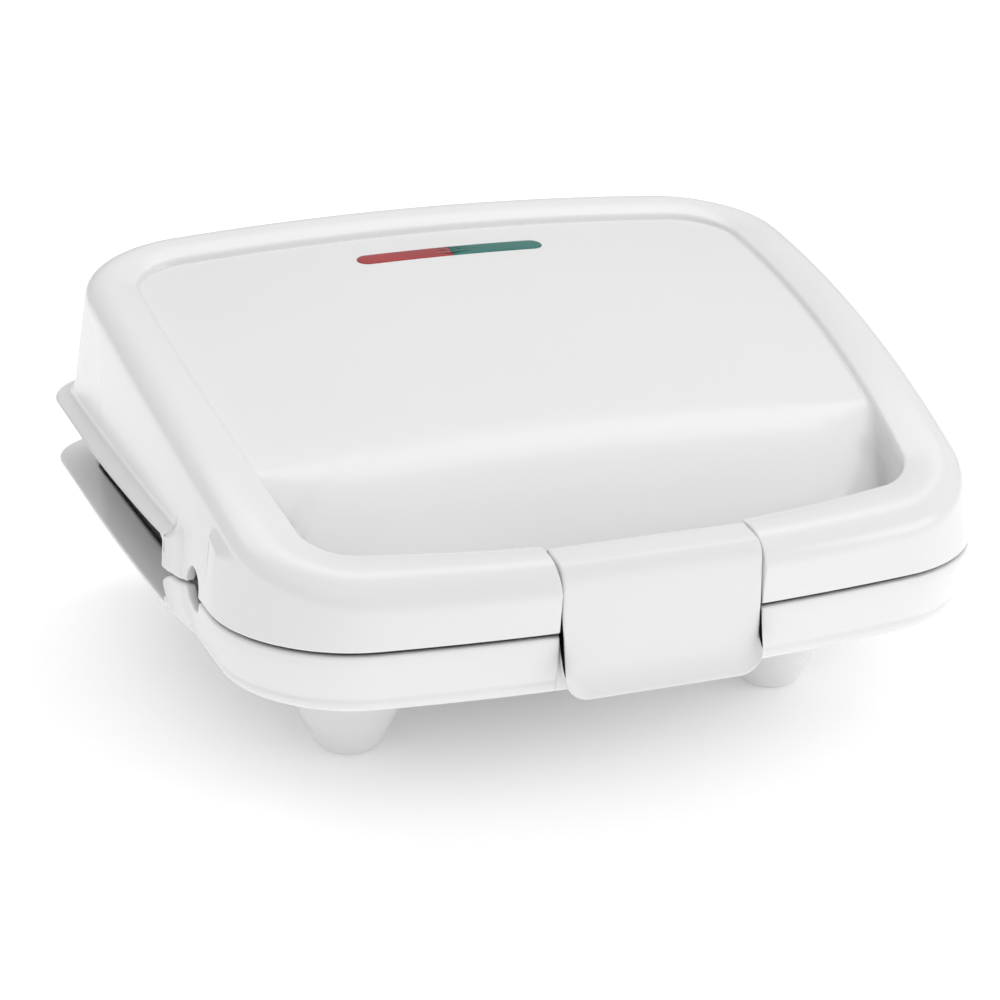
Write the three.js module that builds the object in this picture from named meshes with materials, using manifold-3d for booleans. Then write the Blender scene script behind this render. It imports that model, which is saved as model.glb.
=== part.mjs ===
// A two-plate waffle maker, closed: white clamshell, front latch, indicator lenses and four feet.
// Millimetres, +Z up, +X right, -Y towards the latch. The origin is on the floor, under the body's middle.
import * as THREE from "three";
import { mergeVertices } from "three/addons/utils/BufferGeometryUtils.js";
import Module from "manifold-3d";

// ---------------------------------------------------------------- driving dimensions
const GAP = 0.3; // between pieces that touch
const PARTING = 65; // height of the plane between the two shells
const SHELL_GAP = 1.2; // seam between the shells
const WALL = 3;

// Plan of the shells at the parting plane: a rounded trapezoid, wider at the rear.
const BODY = {
  widthFront: 231.4, widthRear: 250, front: -119, rear: 119,
  cornerFront: 35.6, cornerRear: 20, bowFront: 10.8, bowSide: 0.1, bowRear: 3.4,
};
// Plan of the lid at the top of its outer fillet.
const LID_TOP = {
  widthFront: 213.7, widthRear: 240.8, front: -120.3, rear: 99.7,
  cornerFront: 26.3, cornerRear: 34.3, bowFront: 13.9, bowSide: 4.4, bowRear: 0.1,
};
const RIM_Z = 116.2; // lid's outer edge above the origin
const RIM_WIDTH = 15.8;
const RIM_FALL = 2.5; // how far the rim drops inwards
const PANEL_Z = 112.5; // inner panel above the origin
const SLOPE = 0.2044; // the lid's top rises towards the rear
const CURVE_Y = 0.000684; // and is crowned along Y
const CURVE_X = 0.000436; // and along X

// Finger well behind the front rim: the panel rolls down to it.
const WELL_FLOOR = 69.5;
const ROLL = { start: -50, end: -88.4, straight: 57, corner: 46, drop: 25 };

// Behind the notch both shells step away from the parting plane and carry a lip.
const NOTCH_Y = -37;
const UPPER_LIP_Z = 75.9;
const LOWER_LIP_Z = 53.4;
const LIP_OUT = 4.15;
const LIP_THICK = 2.6;
const SIDE_HOLE = { y: -55, z: 65.4, radius: 6.5 };

const TUB_EDGE = 47.1; // where the lower shell turns under
const TUB_BOTTOM = 30;
const SOLE = 4; // height of the feet's soles above the plane the other heights start from
const DECK_Z = 62; // the lower shell's deck in front of the plate

const PLATE_INSET = 7.6;
const PLATE_FRONT = -60;
const PLATE_REAR = 98;
const BED = { halfWidth: 100, middle: 5, front: -52, rear: 88, corner: 8 };
const PEG = { across: 4, along: 6, foot: 15, tip: 11.5, height: 4 };
const PLATE_DEPTH = 11;
const PLATE_GAP = 0.4; // from each plate to the parting plane

const FOOT = { x: 69.6, yFront: -45.3, yRear: 62 };
const HINGE = { y: 113, z: 66.5, x: 72, earRadius: 6, earWidth: 6, pin: 2 };
const LATCH = { halfWidth: 29.4, side: 1, pinY: -107.5, pinZ: 80.9, pinRadius: 1.3, knuckle: 3.3 };
const WINDOW = { y: 64, halfLength: 32.3, halfWidth: 3.75 };
const GLAND = { x: 40, z: 43, radius: 5, boss: 10.5, rear: 121 };

// ---------------------------------------------------------------- solids
const wasm = await Module();
wasm.setup();

const MERGE = 1e-3;

function solid(geometry) {
  const bare = geometry.clone();
  bare.deleteAttribute("normal");
  bare.deleteAttribute("uv");
  const merged = mergeVertices(bare, MERGE);
  return new wasm.Manifold(new wasm.Mesh({
    numProp: 3,
    vertProperties: new Float32Array(merged.attributes.position.array),
    triVerts: new Uint32Array(merged.index.array),
  }));
}

const join = (first, ...others) => others.reduce((sum, next) => sum.add(next), first);
const cut = (first, ...others) => others.reduce((rest, next) => rest.subtract(next), first);

function geometryOf(manifold) {
  const mesh = manifold.getMesh();
  const geometry = new THREE.BufferGeometry();
  geometry.setAttribute("position", new THREE.BufferAttribute(mesh.vertProperties, 3));
  geometry.setIndex(new THREE.BufferAttribute(mesh.triVerts, 1));
  geometry.computeVertexNormals();
  return geometry;
}

// Box from its lowest to its highest corner.
function block(x0, x1, y0, y1, z0, z1) {
  const box = new THREE.BoxGeometry(x1 - x0, y1 - y0, z1 - z0);
  return solid(box.translate((x0 + x1) / 2, (y0 + y1) / 2, (z0 + z1) / 2));
}

// Turned piece about +Z from [radius, height] pairs that start and end on the axis.
function turned(profile, segments = 16) {
  return new THREE.LatheGeometry(profile.map(([r, z]) => new THREE.Vector2(r, z)), segments).rotateX(Math.PI / 2);
}

const rodAlongX = (radius, x0, x1, y, z, segments = 16) =>
  solid(new THREE.CylinderGeometry(radius, radius, x1 - x0, segments)
    .rotateZ(Math.PI / 2).translate((x0 + x1) / 2, y, z));
const rodAlongY = (radius, y0, y1, x, z, segments = 16) =>
  solid(new THREE.CylinderGeometry(radius, radius, y1 - y0, segments).translate(x, (y0 + y1) / 2, z));
const rodAlongZ = (radius, z0, z1, x, y, segments = 16) =>
  solid(new THREE.CylinderGeometry(radius, radius, z1 - z0, segments)
    .rotateX(Math.PI / 2).translate(x, y, (z0 + z1) / 2));

// ---------------------------------------------------------------- outlines and lofts
const EDGE_STEPS = 6;
const CORNER_STEPS = 5;
const ROUND = 0.5523; // handle length that makes a cubic follow a quarter circle

function inset(plan, distance, front = plan.front + distance) {
  return {
    ...plan,
    widthFront: plan.widthFront - 2 * distance,
    widthRear: plan.widthRear - 2 * distance,
    front,
    rear: plan.rear - distance,
    cornerFront: Math.max(plan.cornerFront - distance, 4),
    cornerRear: Math.max(plan.cornerRear - distance, 4),
  };
}

function between(a, b, t) {
  return Object.fromEntries(Object.keys(a).map((key) => [key, a[key] + (b[key] - a[key]) * t]));
}

// Points of a rounded trapezoid with bowed edges, anticlockwise from its front left.
function outline(plan) {
  const corners = [
    new THREE.Vector2(-plan.widthFront / 2, plan.front + plan.bowFront),
    new THREE.Vector2(plan.widthFront / 2, plan.front + plan.bowFront),
    new THREE.Vector2(plan.widthRear / 2, plan.rear - plan.bowRear),
    new THREE.Vector2(-plan.widthRear / 2, plan.rear - plan.bowRear),
  ];
  const radii = [plan.cornerFront, plan.cornerFront, plan.cornerRear, plan.cornerRear];
  const bows = [plan.bowFront, plan.bowSide, plan.bowRear, plan.bowSide];
  const edges = corners.map((start, i) => {
    const end = corners[(i + 1) % 4];
    const along = end.clone().sub(start);
    const length = along.length();
    const outwards = new THREE.Vector2(along.y, -along.x).divideScalar(length);
    const middle = start.clone().add(end).divideScalar(2).addScaledVector(outwards, 2 * bows[i]);
    return {
      curve: new THREE.QuadraticBezierCurve(start, middle, end),
      from: Math.min(radii[i] / length, 0.49),
      to: 1 - Math.min(radii[(i + 1) % 4] / length, 0.49),
    };
  });
  const middle = new THREE.Vector2(plan.middle ?? 0, 0);
  return edges.flatMap(({ curve, from, to }, i) => {
    const next = edges[(i + 1) % 4];
    const a = curve.getPoint(to);
    const b = next.curve.getPoint(next.from);
    const ta = curve.getTangent(to);
    const tb = next.curve.getTangent(next.from);
    const reach = b.clone().sub(a).cross(tb) / ta.cross(tb);
    const apex = a.clone().addScaledVector(ta, reach);
    const corner = new THREE.CubicBezierCurve(a, a.clone().lerp(apex, ROUND), b.clone().lerp(apex, ROUND), b);
    const points = [];
    for (let k = 0; k <= EDGE_STEPS; k++) points.push(curve.getPoint(from + (to - from) * (k / EDGE_STEPS)));
    for (let k = 1; k < CORNER_STEPS; k++) points.push(corner.getPoint(k / CORNER_STEPS));
    return points.map((point) => point.add(middle));
  });
}

// A ring is an outline with a height, given as a number or as a function of x and y.
function ring(plan, height) {
  return outline(plan).map(({ x, y }) => new THREE.Vector3(x, y, typeof height === "number" ? height : height(x, y)));
}

// Closed surface through rings from bottom to top, each end closed by a fan.
function loft(rings, topCentre) {
  const count = rings[0].length;
  const middle = (points) => points.reduce((sum, p) => sum.add(p), new THREE.Vector3()).divideScalar(count);
  const centres = [middle(rings[0]), topCentre ?? middle(rings.at(-1))];
  const position = [...rings.flat(), ...centres].flatMap((p) => [p.x, p.y, p.z]);
  const bottom = rings.length * count;
  const top = bottom + 1;
  const index = [];
  for (let k = 0; k < count; k++) {
    const next = (k + 1) % count;
    for (let r = 0; r + 1 < rings.length; r++) {
      const low = r * count;
      const high = low + count;
      index.push(low + k, low + next, high + next, low + k, high + next, high + k);
    }
    const last = (rings.length - 1) * count;
    index.push(bottom, next, k, top, last + k, last + next);
  }
  const geometry = new THREE.BufferGeometry();
  geometry.setAttribute("position", new THREE.Float32BufferAttribute(position, 3));
  geometry.setIndex(index);
  return solid(geometry);
}

const slab = (plan, z0, z1) => loft([ring(plan, z0), ring(plan, z1)]);

// ---------------------------------------------------------------- the lid's top surface
const crown = (x, y) => SLOPE * y - CURVE_Y * y * y - CURVE_X * x * x;
const rimOuter = (x, y) => RIM_Z + crown(x, y);
const rimInner = (x, y) => RIM_Z - RIM_FALL + crown(x, y);

// Where the panel's roll ends: straight in the middle, curving back towards the sides.
function rollEnd(x) {
  const beyond = Math.min(Math.max(Math.abs(x) - ROLL.straight, 0), ROLL.corner * 0.95);
  return ROLL.end + ROLL.corner - Math.sqrt(ROLL.corner ** 2 - beyond ** 2);
}

// The panel rolls down as a quarter of an ellipse, down to the finger well.
function panel(x, y) {
  const share = Math.min(Math.max((ROLL.start - y) / (ROLL.start - rollEnd(x)), 0), 1);
  const z = PANEL_Z + crown(x, y) - ROLL.drop * (1 - Math.sqrt(1 - share ** 2));
  return Math.max(z, WELL_FLOOR);
}

const PANEL_MIDDLE = new THREE.Vector2(0, -10);
const PANEL_RINGS = [1, 0.9, 0.845, 0.82, 0.79, 0.74, 0.67, 0.58, 0.46, 0.25];

// Ring of the panel: its edge drawn in towards the middle.
function panelRing(plan, share, height) {
  return outline(plan).map((edge) => {
    const { x, y } = PANEL_MIDDLE.clone().lerp(edge, share);
    return new THREE.Vector3(x, y, height(x, y));
  });
}

function lidOuter() {
  const wall = inset(LID_TOP, -1.2);
  const rings = [
    ring(BODY, PARTING + SHELL_GAP / 2),
    ring(between(BODY, wall, 0.35), (x, y) => PARTING + 0.35 * (rimOuter(x, y) - PARTING - 5)),
    ring(wall, (x, y) => rimOuter(x, y) - 5),
    ring(inset(LID_TOP, -0.3), (x, y) => rimOuter(x, y) - 1.8),
    ring(inset(LID_TOP, 1.6), (x, y) => rimOuter(x, y) + 0.5),
    ring(inset(LID_TOP, 6), (x, y) => rimOuter(x, y) + 0.7),
    ring(inset(LID_TOP, RIM_WIDTH), rimInner),
  ];
  const panelEdge = inset(LID_TOP, RIM_WIDTH + 0.8);
  PANEL_RINGS.forEach((share) => rings.push(panelRing(panelEdge, share, panel)));
  return loft(rings, new THREE.Vector3(PANEL_MIDDLE.x, PANEL_MIDDLE.y, panel(PANEL_MIDDLE.x, PANEL_MIDDLE.y)));
}

// Hollow under the panel, from the ledge round the plate up to the inside of the panel.
function lidHollow() {
  const floor = UPPER_LIP_Z + LIP_THICK;
  const low = { ...inset(BODY, 8, -76), cornerFront: 52, bowFront: 1 };
  const high = { ...inset(LID_TOP, 9, -71), cornerFront: 56, bowFront: 1 };
  const roof = (x, y) => Math.max(panel(x, y - 3) - 3.4, floor + 1);
  const rings = [ring(low, floor), ring(high, roof)];
  [0.9, 0.75, 0.5, 0.25].forEach((share) => rings.push(panelRing(high, share, roof)));
  return loft(rings, new THREE.Vector3(PANEL_MIDDLE.x, PANEL_MIDDLE.y, roof(PANEL_MIDDLE.x, PANEL_MIDDLE.y)));
}

// ---------------------------------------------------------------- cuts that both shells share
const FAR = 160;

const plateHole = (z0, z1) => slab(platePlan(-0.6), z0, z1);
const sideHoles = () => join(
  rodAlongX(SIDE_HOLE.radius, -FAR, -BODY.widthFront / 2 + 9, SIDE_HOLE.y, SIDE_HOLE.z, 24),
  rodAlongX(SIDE_HOLE.radius, BODY.widthFront / 2 - 9, FAR, SIDE_HOLE.y, SIDE_HOLE.z, 24),
);

function platePlan(shrink) {
  const plan = inset(BODY, PLATE_INSET + shrink, PLATE_FRONT + shrink);
  return { ...plan, rear: PLATE_REAR - shrink, cornerFront: 12, cornerRear: 14, bowFront: 0.1, bowRear: 0.1 };
}

// Lip along the rear half of a shell's sides and round its back.
function lip(z0, z1) {
  const outer = slab(inset(BODY, -LIP_OUT), z0, z1);
  return cut(outer, block(-FAR, FAR, -FAR, NOTCH_Y, 0, FAR));
}

// Ear with a round end about the hinge axis, rooted in a shell at height root.
function hingeEar(x0, root) {
  const x1 = x0 + HINGE.earWidth;
  const z0 = Math.min(root, HINGE.z);
  const z1 = Math.max(root, HINGE.z);
  return join(
    rodAlongX(HINGE.earRadius, x0, x1, HINGE.y, HINGE.z, 24),
    block(x0, x1, HINGE.y - HINGE.earRadius, HINGE.y + HINGE.earRadius * 0.8, z0, z1),
  );
}

const hingeBores = () => join(
  ...[-1, 1].map((side) => rodAlongX(HINGE.pin + GAP, side * HINGE.x - 12, side * HINGE.x + 12, HINGE.y, HINGE.z)),
);

// ---------------------------------------------------------------- latch
// Section of the latch's outer face in the YZ plane, from the knuckle down to the lip.
function latchFace(offset) {
  const face = new THREE.Path();
  face.moveTo(LATCH.pinY + 1.2, LATCH.pinZ + LATCH.knuckle - 0.1 - offset);
  face.lineTo(-115.6, 82.6 - offset);
  face.quadraticCurveTo(-121.2 + offset, 81.4 - offset, -121.6 + offset, 75.5);
  face.lineTo(-121.8 + offset, 51.5);
  face.quadraticCurveTo(-122.2 + offset, 48.3, -125.2 + offset * 0.9, 45.2 - offset * 0.3);
  return face.getPoints(5);
}

const LATCH_THICK = 2.6;

function extrudeAlongX(points, halfWidth) {
  // A shape's own x and y are the section's Y and Z.
  const shape = new THREE.Shape(points);
  const geometry = new THREE.ExtrudeGeometry(shape, { depth: 2 * halfWidth, bevelEnabled: false, curveSegments: 6 });
  geometry.applyMatrix4(new THREE.Matrix4().set(0, 0, 1, -halfWidth, 1, 0, 0, 0, 0, 1, 0, 0, 0, 0, 0, 1));
  return solid(geometry);
}

function latchSolid() {
  const section = [...latchFace(0), ...latchFace(LATCH_THICK).reverse()];
  const plate = extrudeAlongX(section, LATCH.halfWidth);
  const knuckle = rodAlongX(LATCH.knuckle, -LATCH.halfWidth, LATCH.halfWidth, LATCH.pinY, LATCH.pinZ, 24);
  const rib = block(-18, 18, -119.7, -118.3, 49.2, 51.2);
  const ribs = [-20, 0, 20].map((x) => block(x - 1, x + 1, -119.4, -118.5, 53, 60));
  const bore = rodAlongX(LATCH.pinRadius + GAP, -FAR, FAR, LATCH.pinY, LATCH.pinZ);
  return cut(join(plate, knuckle, rib, ...ribs), bore);
}

// Room for the latch in both shells.
function latchRecess() {
  const halfWidth = LATCH.halfWidth + LATCH.side;
  const clear = 0.6;
  const inner = latchFace(LATCH_THICK + clear);
  const section = [...inner, new THREE.Vector2(-FAR, 44), new THREE.Vector2(-FAR, 100), new THREE.Vector2(-103, 100)];
  const ribRoom = block(-22, 22, -122, -117.6, 40, 61.5);
  const knuckleRoom = rodAlongX(LATCH.knuckle + clear, -halfWidth, halfWidth, LATCH.pinY, LATCH.pinZ, 24);
  const above = block(-halfWidth, halfWidth, LATCH.pinY, -102, LATCH.pinZ - LATCH.knuckle - clear, 100);
  return join(extrudeAlongX(section.reverse(), halfWidth), ribRoom, knuckleRoom, above);
}

const latchPinBore = () =>
  rodAlongX(LATCH.pinRadius + GAP, -LATCH.halfWidth - 5.3, LATCH.halfWidth + 5.3, LATCH.pinY, LATCH.pinZ);

// ---------------------------------------------------------------- indicator window
// Pill-shaped prism that follows the panel's slope, from x0 to x1 of the whole pill.
function pill(grow, z0, z1, x0 = -FAR, x1 = FAR) {
  const r = WINDOW.halfWidth + grow;
  const reach = WINDOW.halfLength - WINDOW.halfWidth;
  const shape = new THREE.Shape();
  shape.absarc(reach, 0, r, -Math.PI / 2, Math.PI / 2);
  shape.absarc(-reach, 0, r, Math.PI / 2, 1.5 * Math.PI);
  const geometry = new THREE.ExtrudeGeometry(shape, { depth: z1 - z0, bevelEnabled: false, curveSegments: 6 });
  const tilt = SLOPE - 2 * CURVE_Y * WINDOW.y;
  geometry.applyMatrix4(new THREE.Matrix4().set(1, 0, 0, 0, 0, 1, 0, WINDOW.y, 0, tilt, 1, z0, 0, 0, 0, 1));
  return solid(geometry).intersect(block(x0, x1, 0, FAR, 0, FAR));
}

const windowTop = panel(0, WINDOW.y);

// ---------------------------------------------------------------- housings
function upperHousing() {
  const front = inset(BODY, WALL);
  const frontBasin = slab(front, 60, PARTING + 2).intersect(block(-FAR, FAR, -FAR, NOTCH_Y - WALL, 0, FAR));
  const rimChannel = cut(
    slab(inset(LID_TOP, 3.2), 60, 76),
    slab(inset(LID_TOP, RIM_WIDTH - 2.6), 50, 90),
    block(-FAR, FAR, -64, FAR, 0, FAR),
    block(-LATCH.halfWidth - 8, LATCH.halfWidth + 8, -FAR, 0, 0, FAR),
  );
  const behind = block(-FAR, FAR, NOTCH_Y, FAR, 0, UPPER_LIP_Z);
  const shell = cut(
    join(lidOuter(), lip(UPPER_LIP_Z, UPPER_LIP_Z + LIP_THICK)),
    lidHollow(), frontBasin, rimChannel, behind, plateHole(60, UPPER_LIP_Z + LIP_THICK + 0.1),
    pill(GAP, windowTop - 12, windowTop + 6),
  );
  const ears = [1, -1].map((side) =>
    hingeEar(side > 0 ? HINGE.x + 3.3 : -HINGE.x - 3.3 - HINGE.earWidth, UPPER_LIP_Z + 1));
  return cut(join(shell, ...ears), hingeBores(), latchRecess(), latchPinBore(), sideHoles());
}

function lowerHousing() {
  const top = PARTING - SHELL_GAP / 2;
  const outer = loft([
    ring(inset(BODY, 44), TUB_BOTTOM),
    ring(inset(BODY, 14), 37.5),
    ring(inset(BODY, 6.2), 41.8),
    ring(inset(BODY, 2.9), TUB_EDGE),
    ring(inset(BODY, 0.3), top - 3),
    ring(inset(BODY, 0.8), top),
  ]);
  const tub = loft([
    ring(inset(BODY, 45), TUB_BOTTOM + WALL),
    ring(inset(BODY, 16), 40.3),
    ring(inset(BODY, 9), 44),
    ring(inset(BODY, 6), TUB_EDGE),
    ring(inset(BODY, 4), LOWER_LIP_Z - LIP_THICK),
  ]);
  const underDeck = slab(inset(BODY, 4), LOWER_LIP_Z - LIP_THICK - 0.1, DECK_Z - LIP_THICK)
    .intersect(block(-FAR, FAR, -FAR, NOTCH_Y - WALL, 0, FAR));
  const basin = slab(inset(BODY, WALL), DECK_Z, FAR).intersect(block(-FAR, FAR, -FAR, NOTCH_Y - WALL, 0, FAR));
  const glandBoss = rodAlongY(GLAND.boss, 104, GLAND.rear, GLAND.x, GLAND.z, 24);
  const bosses = footPlaces().map(({ x, y }) => rodAlongZ(4.5, TUB_BOTTOM + 1, 39, x, y, 16));
  const shell = join(
    cut(join(outer, lip(LOWER_LIP_Z - LIP_THICK, LOWER_LIP_Z), glandBoss),
      tub, underDeck, basin, block(-FAR, FAR, NOTCH_Y, FAR, LOWER_LIP_Z, FAR), plateHole(45, FAR)),
    ...bosses,
  );
  const ears = [1, -1].map((side) => hingeEar(side * HINGE.x - HINGE.earWidth / 2, LOWER_LIP_Z - 1));
  const screwBores = footPlaces().map(({ x, y }) => rodAlongZ(1.5 + GAP, 20, 50, x, y, 12));
  return cut(join(shell, ...ears), hingeBores(), latchRecess(), sideHoles(), ...screwBores,
    rodAlongY(GLAND.radius + GAP, 90, FAR, GLAND.x, GLAND.z));
}

// ---------------------------------------------------------------- feet
function footPlaces() {
  return [["front", FOOT.yFront], ["rear", FOOT.yRear]].flatMap(([row, y]) =>
    [["left", -FOOT.x], ["right", FOOT.x]].map(([side, x]) => ({ name: `${row}_${side}`, x, y })));
}

function footSolid() {
  const profile = [[0, SOLE], [7.6, SOLE], [9.4, SOLE + 0.8], [10.4, SOLE + 3], [15.4, 17], [18.2, 26.5], [18.2, 29.7],
    [0, 29.7]];
  const body = solid(turned(profile));
  return cut(body, rodAlongZ(4, 0, 21.5, 0, 0, 16), rodAlongZ(1.5 + GAP, 20, 40, 0, 0, 12));
}

const footScrew = () =>
  turned([[0, 18.6], [3.2, 18.6], [3.2, 21.2], [1.5, 21.2], [1.5, 36.5], [0, 38]], 12);

// ---------------------------------------------------------------- plates and heat
const ELEMENT = { radius: 3.25, clear: 0.5 };
const TRAY = { sheet: 1.2, rim: 3.5, inset: 12 };
const LOWER_PLATE_Z = PARTING - PLATE_GAP - PLATE_DEPTH;
const UPPER_PLATE_TOP = PARTING + PLATE_GAP + PLATE_DEPTH;

function bedPlan(x0, x1, grow) {
  return {
    widthFront: x1 - x0 + 2 * grow, widthRear: x1 - x0 + 2 * grow, front: BED.front - grow, rear: BED.rear + grow,
    cornerFront: BED.corner, cornerRear: BED.corner, bowFront: 0.01, bowSide: 0.01, bowRear: 0.01,
    middle: (x0 + x1) / 2,
  };
}

function pegsOf(x0, x1, floor) {
  const pitchX = (x1 - x0) / PEG.across;
  const pitchY = (BED.rear - BED.front) / PEG.along;
  const sunk = 0.5;
  const pegs = [];
  for (let i = 0; i < PEG.across; i++) {
    for (let j = 0; j < PEG.along; j++) {
      const peg = new THREE.CylinderGeometry(PEG.tip / Math.SQRT2, PEG.foot / Math.SQRT2, PEG.height + sunk, 4)
        .rotateX(Math.PI / 2).rotateZ(Math.PI / 4)
        .translate(x0 + (i + 0.5) * pitchX, BED.front + (j + 0.5) * pitchY, floor + (PEG.height - sunk) / 2);
      pegs.push(solid(peg));
    }
  }
  return pegs;
}

// Tray with two waffle beds and their pegs, from z = 0 up to its open side.
function plateSolid() {
  const floor = 3;
  const spans = [[-BED.halfWidth, -BED.middle], [BED.middle, BED.halfWidth]];
  const beds = spans.map(([x0, x1]) => loft([
    ring(bedPlan(x0, x1, -2.5), floor),
    ring(bedPlan(x0, x1, 0), PLATE_DEPTH + 1),
  ]));
  const pegs = spans.flatMap(([x0, x1]) => pegsOf(x0, x1, floor));
  return join(cut(slab(platePlan(0), 0, PLATE_DEPTH), ...beds), ...pegs);
}

// Tubular element: one open loop with both ends at the rear.
function elementGeometry() {
  const half = [[20, 92], [20, 80], [34, 72], [72, 66], [82, 16], [70, -34], [34, -42]];
  const points = [...half, ...half.map(([x, y]) => [-x, y]).reverse()];
  const path = new THREE.CatmullRomCurve3(points.map(([x, y]) => new THREE.Vector3(x, y, 0)));
  const section = new THREE.Shape().absarc(0, 0, ELEMENT.radius, 0, 2 * Math.PI);
  return new THREE.ExtrudeGeometry(section, { extrudePath: path, steps: 38, curveSegments: 4, bevelEnabled: false });
}

// Sheet tray, from z = 0 up to its rim.
function traySolid(front) {
  const outer = { ...platePlan(TRAY.inset), front };
  const inner = { ...platePlan(TRAY.inset + TRAY.sheet), front: front + TRAY.sheet };
  return cut(slab(outer, 0, TRAY.rim), slab(inner, TRAY.sheet, TRAY.rim + 1));
}

// ---------------------------------------------------------------- small parts
function lens(x0, x1) {
  const face = pill(0, windowTop - 4.4, windowTop + 0.25, x0, x1);
  const flange = pill(1.6, windowTop - 5.9, windowTop - 4.4, x0, x1);
  return join(face, flange);
}

function lampHolder() {
  const posts = [-1, 1].map((side) => block(side * 33 - 1.5, side * 33 + 1.5, 60, 68, 104, 115));
  return join(block(-34.5, 34.5, 57, 71, 102.5, 105), ...posts);
}

// Ring with a collar outside the housing's rear boss; its axis becomes the Y axis.
function glandGeometry() {
  const bore = 3.4;
  const collar = 7.4;
  const profile = [[bore, 0], [GLAND.radius, 0], [GLAND.radius, 19.3], [collar, 19.3], [collar, 21.6],
    [5.9, 22.6], [bore, 22.6], [bore, 0]];
  return turned(profile, 20).rotateX(-Math.PI / 2).translate(GLAND.x, GLAND.rear + GAP - 19.3, GLAND.z);
}

// ---------------------------------------------------------------- assembly
const standard = (color, roughness, metalness = 0) => new THREE.MeshStandardMaterial({ color, roughness, metalness });
const glossWhite = standard(0xf0f0ee, 0.22);
const satinWhite = standard(0xe9e9e8, 0.4);
const coating = standard(0x3a3a3c, 0.55, 0.2);
const steel = standard(0xb8babd, 0.3, 1);
const darkSheath = standard(0x5b5a57, 0.5, 0.8);
const redLens = standard(0xb03434, 0.3);
const greenLens = standard(0x147d73, 0.3);
const black = standard(0x1c1c1c, 0.5);
const ceramic = standard(0xe4ddcf, 0.6);

function piece(name, shape, material, place = [0, 0, 0]) {
  const mesh = new THREE.Mesh(shape.isBufferGeometry ? shape : geometryOf(shape), material);
  mesh.name = name;
  mesh.position.set(place[0], place[1], place[2] - SOLE);
  return mesh;
}

function baseGroup() {
  const base = new THREE.Group();
  base.add(piece("lower_housing", lowerHousing(), glossWhite));
  footPlaces().forEach(({ name, x, y }) => {
    base.add(piece(`foot_${name}`, footSolid(), glossWhite, [x, y, 0]));
    base.add(piece(`foot_screw_${name}`, footScrew(), steel, [x, y, 0]));
  });
  base.add(piece("lower_plate", plateSolid(), coating, [0, 0, LOWER_PLATE_Z]));
  const elementZ = LOWER_PLATE_Z - ELEMENT.clear - ELEMENT.radius;
  base.add(piece("lower_heating_element", elementGeometry(), darkSheath, [0, 0, elementZ]));
  base.add(piece("lower_reflector", traySolid(-48), steel, [0, 0, 41]));
  base.add(piece("thermostat", turned([[0, 0], [9, 0], [9, 5], [7, 5], [7, 9.3], [0, 9.3]]), steel, [0, 20, 43.4]));
  base.add(piece("thermal_fuse", rodAlongX(2.2, -8, 8, 0, 0, 12), ceramic, [40, 20, 48]));
  base.add(piece("terminal_block", block(-14, 14, -6, 6, 0, 6), ceramic, [30, 52, 33.6]));
  base.add(piece("cable_gland", glandGeometry(), black));
  [["left", -1], ["right", 1]].forEach(([side, sign]) => {
    const length = 15.6;
    const from = sign > 0 ? HINGE.x - 3 : -HINGE.x + 3 - length;
    base.add(piece(`hinge_pin_${side}`, rodAlongX(HINGE.pin, from, from + length, HINGE.y, HINGE.z), steel));
  });
  return base;
}

function lidGroup() {
  const lid = new THREE.Group();
  lid.add(piece("upper_housing", upperHousing(), glossWhite));
  const upperPlate = piece("upper_plate", plateSolid(), coating, [0, 0, UPPER_PLATE_TOP]);
  upperPlate.rotation.y = Math.PI;
  lid.add(upperPlate);
  const elementZ = UPPER_PLATE_TOP + ELEMENT.clear + ELEMENT.radius;
  lid.add(piece("upper_heating_element", elementGeometry(), darkSheath, [0, 0, elementZ]));
  lid.add(piece("upper_reflector", traySolid(-36), steel, [0, 0, elementZ + ELEMENT.radius + 0.8]));
  lid.add(piece("indicator_lens_red", lens(-FAR, -GAP / 2), redLens));
  lid.add(piece("indicator_lens_green", lens(GAP / 2, FAR), greenLens));
  lid.add(piece("lamp_holder", lampHolder(), black));
  const lamp = () => turned([[0, 0], [2.5, 0], [2.5, 6], [1.8, 8], [0, 9]], 16);
  lid.add(piece("power_lamp", lamp(), redLens, [-16, 64, 105 + GAP]));
  lid.add(piece("ready_lamp", lamp(), greenLens, [16, 64, 105 + GAP]));
  const pinEnd = LATCH.halfWidth + 5;
  lid.add(piece("latch_pin", rodAlongX(LATCH.pinRadius, -pinEnd, pinEnd, LATCH.pinY, LATCH.pinZ, 16), steel));
  lid.add(piece("latch", latchSolid(), satinWhite));
  return lid;
}

const waffleMaker = new THREE.Group();
waffleMaker.add(baseGroup(), lidGroup());

export default waffleMaker;
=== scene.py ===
import math

import bpy
import numpy as np
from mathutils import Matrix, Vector


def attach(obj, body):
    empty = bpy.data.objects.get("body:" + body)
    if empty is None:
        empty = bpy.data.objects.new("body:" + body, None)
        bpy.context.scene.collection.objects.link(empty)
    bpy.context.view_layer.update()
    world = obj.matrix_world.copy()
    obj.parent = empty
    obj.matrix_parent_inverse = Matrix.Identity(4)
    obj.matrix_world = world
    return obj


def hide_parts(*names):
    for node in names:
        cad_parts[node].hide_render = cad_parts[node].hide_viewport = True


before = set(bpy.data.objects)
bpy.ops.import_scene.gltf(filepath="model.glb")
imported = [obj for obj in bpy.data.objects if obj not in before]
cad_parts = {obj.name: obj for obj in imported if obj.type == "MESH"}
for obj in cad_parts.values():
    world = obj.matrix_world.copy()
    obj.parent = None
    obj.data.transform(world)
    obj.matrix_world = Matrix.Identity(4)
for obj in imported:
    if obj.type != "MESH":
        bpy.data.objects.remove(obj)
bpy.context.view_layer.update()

MM = 0.001


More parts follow.
